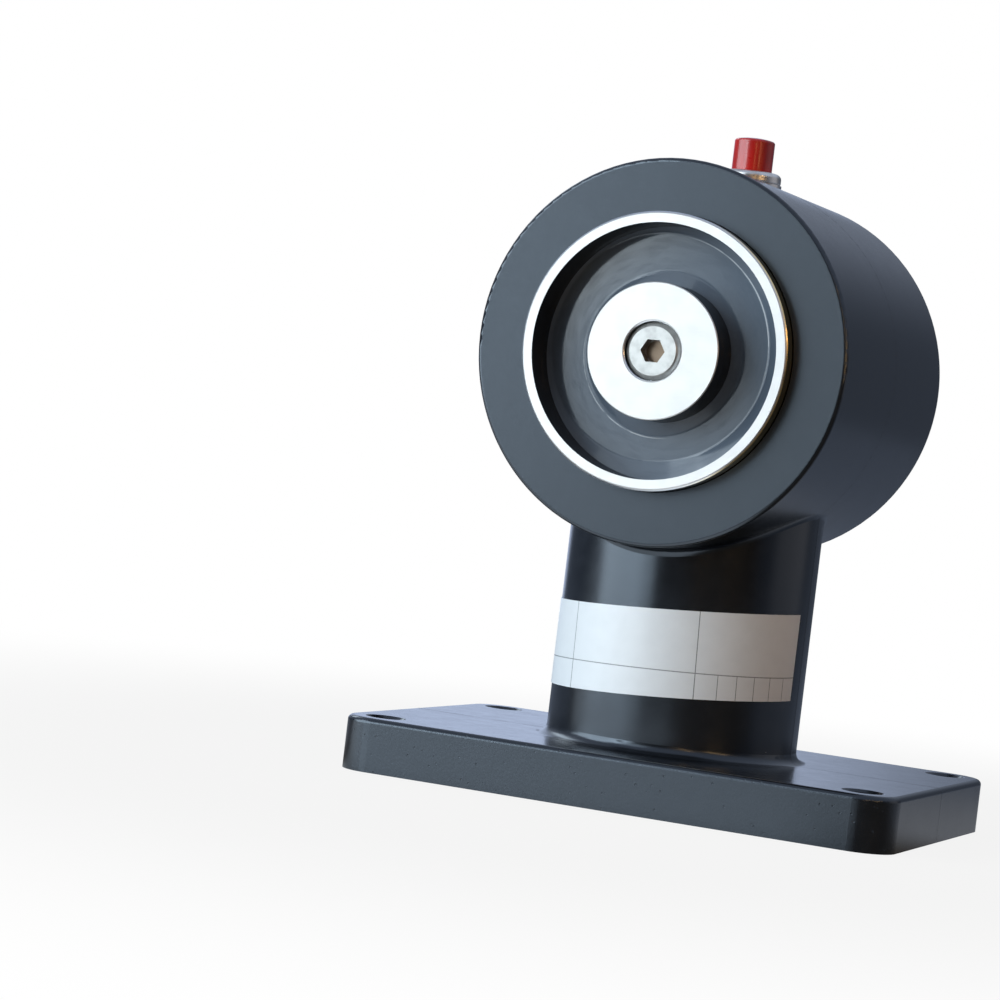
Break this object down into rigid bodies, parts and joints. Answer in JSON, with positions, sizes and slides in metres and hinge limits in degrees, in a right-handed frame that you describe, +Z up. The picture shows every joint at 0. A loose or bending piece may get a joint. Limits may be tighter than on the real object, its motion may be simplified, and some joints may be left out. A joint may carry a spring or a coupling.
{
  "type": "electromagnetic door holder",
  "caption": "Electromagnetic door holder: black cast base, neck and round head with a flush pot magnet facing the door and a red push-to-release button on top.",
  "frame": {"origin": "centre of the base's four screw holes, on the underside of the base", "axes": "+Z up along the neck, -Y out of the magnet's pole face, +X along the base's long side"},
  "size_m": [0.106, 0.0735, 0.1265],
  "materials": {
    "cast_paint": "cast aluminium under satin black paint",
    "plated_steel": "bright zinc plate, pole and rim ground flat",
    "bobbin_plastic": "moulded, dull",
    "copper": "enamelled wire",
    "resin": "glossy black casting resin",
    "bushing_plastic": "natural nylon",
    "screw_steel": "turned and zinc plated",
    "nickel": "nickel plated brass, bright",
    "switch_plastic": "phenolic moulding",
    "contact_brass": "silver plated brass strip",
    "red_plastic": "glossy red",
    "spring_steel": "drawn wire",
    "terminal_plastic": "moulded nylon",
    "terminal_brass": "turned",
    "diode_plastic": "moulded, tinned leads",
    "label_foil": "silver-white polyester foil"
  },
  "bodies": {
    "holder": {"housing": "cast_paint", "magnet_pot": "plated_steel", "coil_bobbin": "bobbin_plastic", "coil_winding": "copper", "potting_resin": "resin", "lead_bushing": "bushing_plastic", "magnet_screw": "screw_steel", "switch_bush": "nickel", "switch_washer": "nickel", "switch_ring_nut": "nickel", "switch_body": "switch_plastic", "switch_terminals": "contact_brass", "button_spring": "spring_steel", "terminal_block": "terminal_plastic", "terminal_clamps": "terminal_brass", "terminal_clamp_screws": "screw_steel", "terminal_fixing_screw": "screw_steel", "suppression_diode": "diode_plastic", "label": "label_foil"},
    "button": {"button_cap": "red_plastic", "button_plunger": "nickel", "contact_bridge": "contact_brass"}
  },
  "joints": [
    {"name": "button_press", "type": "slide", "parent": "holder", "child": "button", "axis": [0, 0, -1], "range_m": [0, 0.002], "stiffness_N_per_m": 500, "springref_m": -0.004, "deforming": ["button_spring"]}
  ]
}
